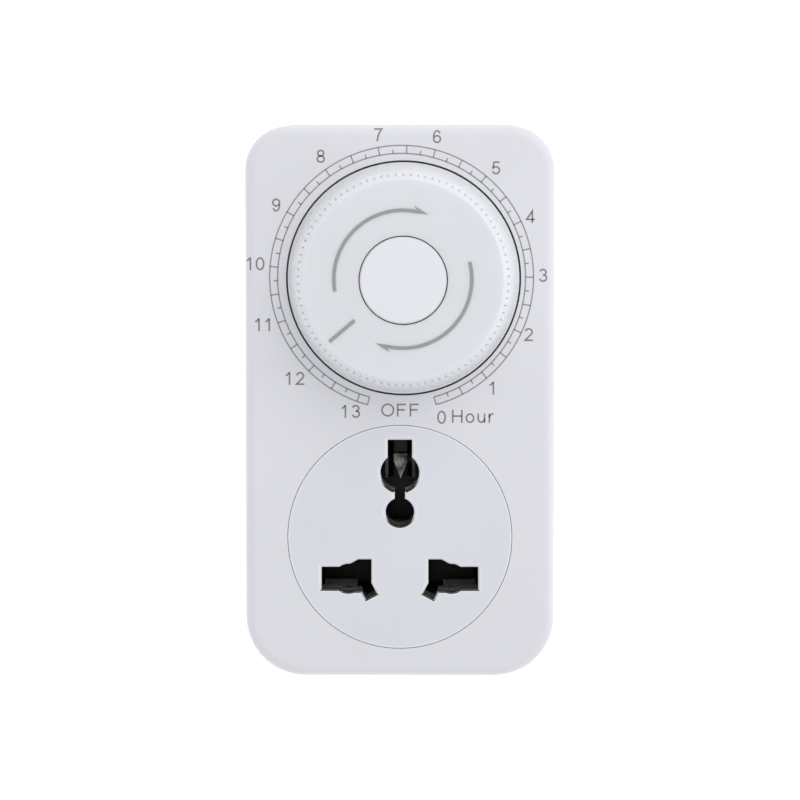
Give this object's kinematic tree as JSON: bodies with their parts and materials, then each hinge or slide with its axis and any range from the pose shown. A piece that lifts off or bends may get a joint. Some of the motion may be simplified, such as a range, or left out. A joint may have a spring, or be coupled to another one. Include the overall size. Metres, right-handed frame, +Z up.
{
  "type": "plug-in timer switch",
  "caption": "Plug-in mechanical countdown timer switch: ribbed dial knob over a universal socket, on a three-pin plug, with its clock train and switch inside.",
  "frame": {"origin": "on the wall face, midway between the axes of the line pin and the neutral pin", "axes": "+Z up, with the dial above the socket; +X to the right seen from the front; +Y into the wall outlet, so the dial and the socket face -Y"},
  "size_m": [0.0582, 0.0702, 0.104],
  "materials": {
    "housing_plastic": "satin moulded",
    "knob_plastic": "satin moulded",
    "insert_plastic": "satin moulded",
    "black_plastic": "glossy moulded",
    "sleeve_plastic": "matt moulded",
    "brass": "bright rolled",
    "steel": "zinc plated",
    "motor_steel": "satin",
    "gear_plastic": "natural moulded",
    "pawl_plastic": "moulded",
    "frame_plastic": "moulded",
    "switch_plastic": "moulded",
    "plunger_plastic": "moulded",
    "brown_lead": "satin",
    "red_lead": "satin",
    "blue_lead": "satin"
  },
  "bodies": {
    "housing": {"front_housing": "housing_plastic", "rear_housing": "housing_plastic", "socket_face": "insert_plastic", "socket_insulator": "black_plastic", "pin_carrier": "black_plastic", "pin_sleeves": "sleeve_plastic", "line_pin": "brass", "neutral_pin": "brass", "earth_pin": "brass", "line_contact": "brass", "neutral_contact": "brass", "earth_contact": "brass", "switch_terminals": "brass", "housing_screws": "steel", "frame_screws": "steel", "motor_screws": "steel", "insulator_screws": "steel", "carrier_screws": "steel", "idler_arbor": "steel", "lever_pin": "steel", "motor_can": "motor_steel", "timer_frame": "frame_plastic", "motor_gearbox": "frame_plastic", "microswitch_case": "switch_plastic", "line_lead": "brown_lead", "switched_lead": "red_lead", "motor_leads": "blue_lead"},
    "dial_gear": {"dial_gear": "gear_plastic"},
    "knob": {"knob": "knob_plastic", "knob_cap": "knob_plastic", "knob_screw": "steel", "dial_spindle": "gear_plastic", "switch_cam": "gear_plastic", "ratchet_pawls": "pawl_plastic", "spindle_clip": "steel"},
    "idler": {"idler_gear": "gear_plastic"},
    "motor_pinion": {"motor_pinion": "steel"},
    "lever": {"switch_lever": "steel"},
    "plunger": {"switch_plunger": "plunger_plastic"}
  },
  "joints": [
    {"name": "timer_drive", "type": "hinge", "parent": "housing", "child": "dial_gear", "pos_m": [0.0007, -0.025, 0.0567], "axis": [0, 1, 0], "continuous": true},
    {"name": "hand_set", "type": "hinge", "parent": "dial_gear", "child": "knob", "pos_m": [0.0007, -0.036, 0.0567], "axis": [0, 1, 0], "continuous": true},
    {"name": "idler_spin", "type": "hinge", "parent": "housing", "child": "idler", "pos_m": [0.0082, -0.024, 0.06969], "axis": [0, 1, 0], "continuous": true},
    {"name": "motor_spin", "type": "hinge", "parent": "housing", "child": "motor_pinion", "pos_m": [-0.00339, -0.022, 0.06659], "axis": [0, 1, 0], "continuous": true},
    {"name": "lever_press", "type": "hinge", "parent": "housing", "child": "lever", "pos_m": [0.02455, -0.0294, 0.0419], "axis": [0, -1, 0], "range_deg": [0, 2], "stiffness_Nm_per_rad": 0.01},
    {"name": "plunger_press", "type": "slide", "parent": "housing", "child": "plunger", "axis": [0, 0, -1], "range_m": [0, 0.00026]}
  ],
  "couplings": [
    {"joint": "idler_spin", "follows": "timer_drive", "ratio": -4},
    {"joint": "motor_spin", "follows": "timer_drive", "ratio": 12},
    {"joint": "plunger_press", "follows": "lever_press", "m_per_rad": 0.0069}
  ]
}
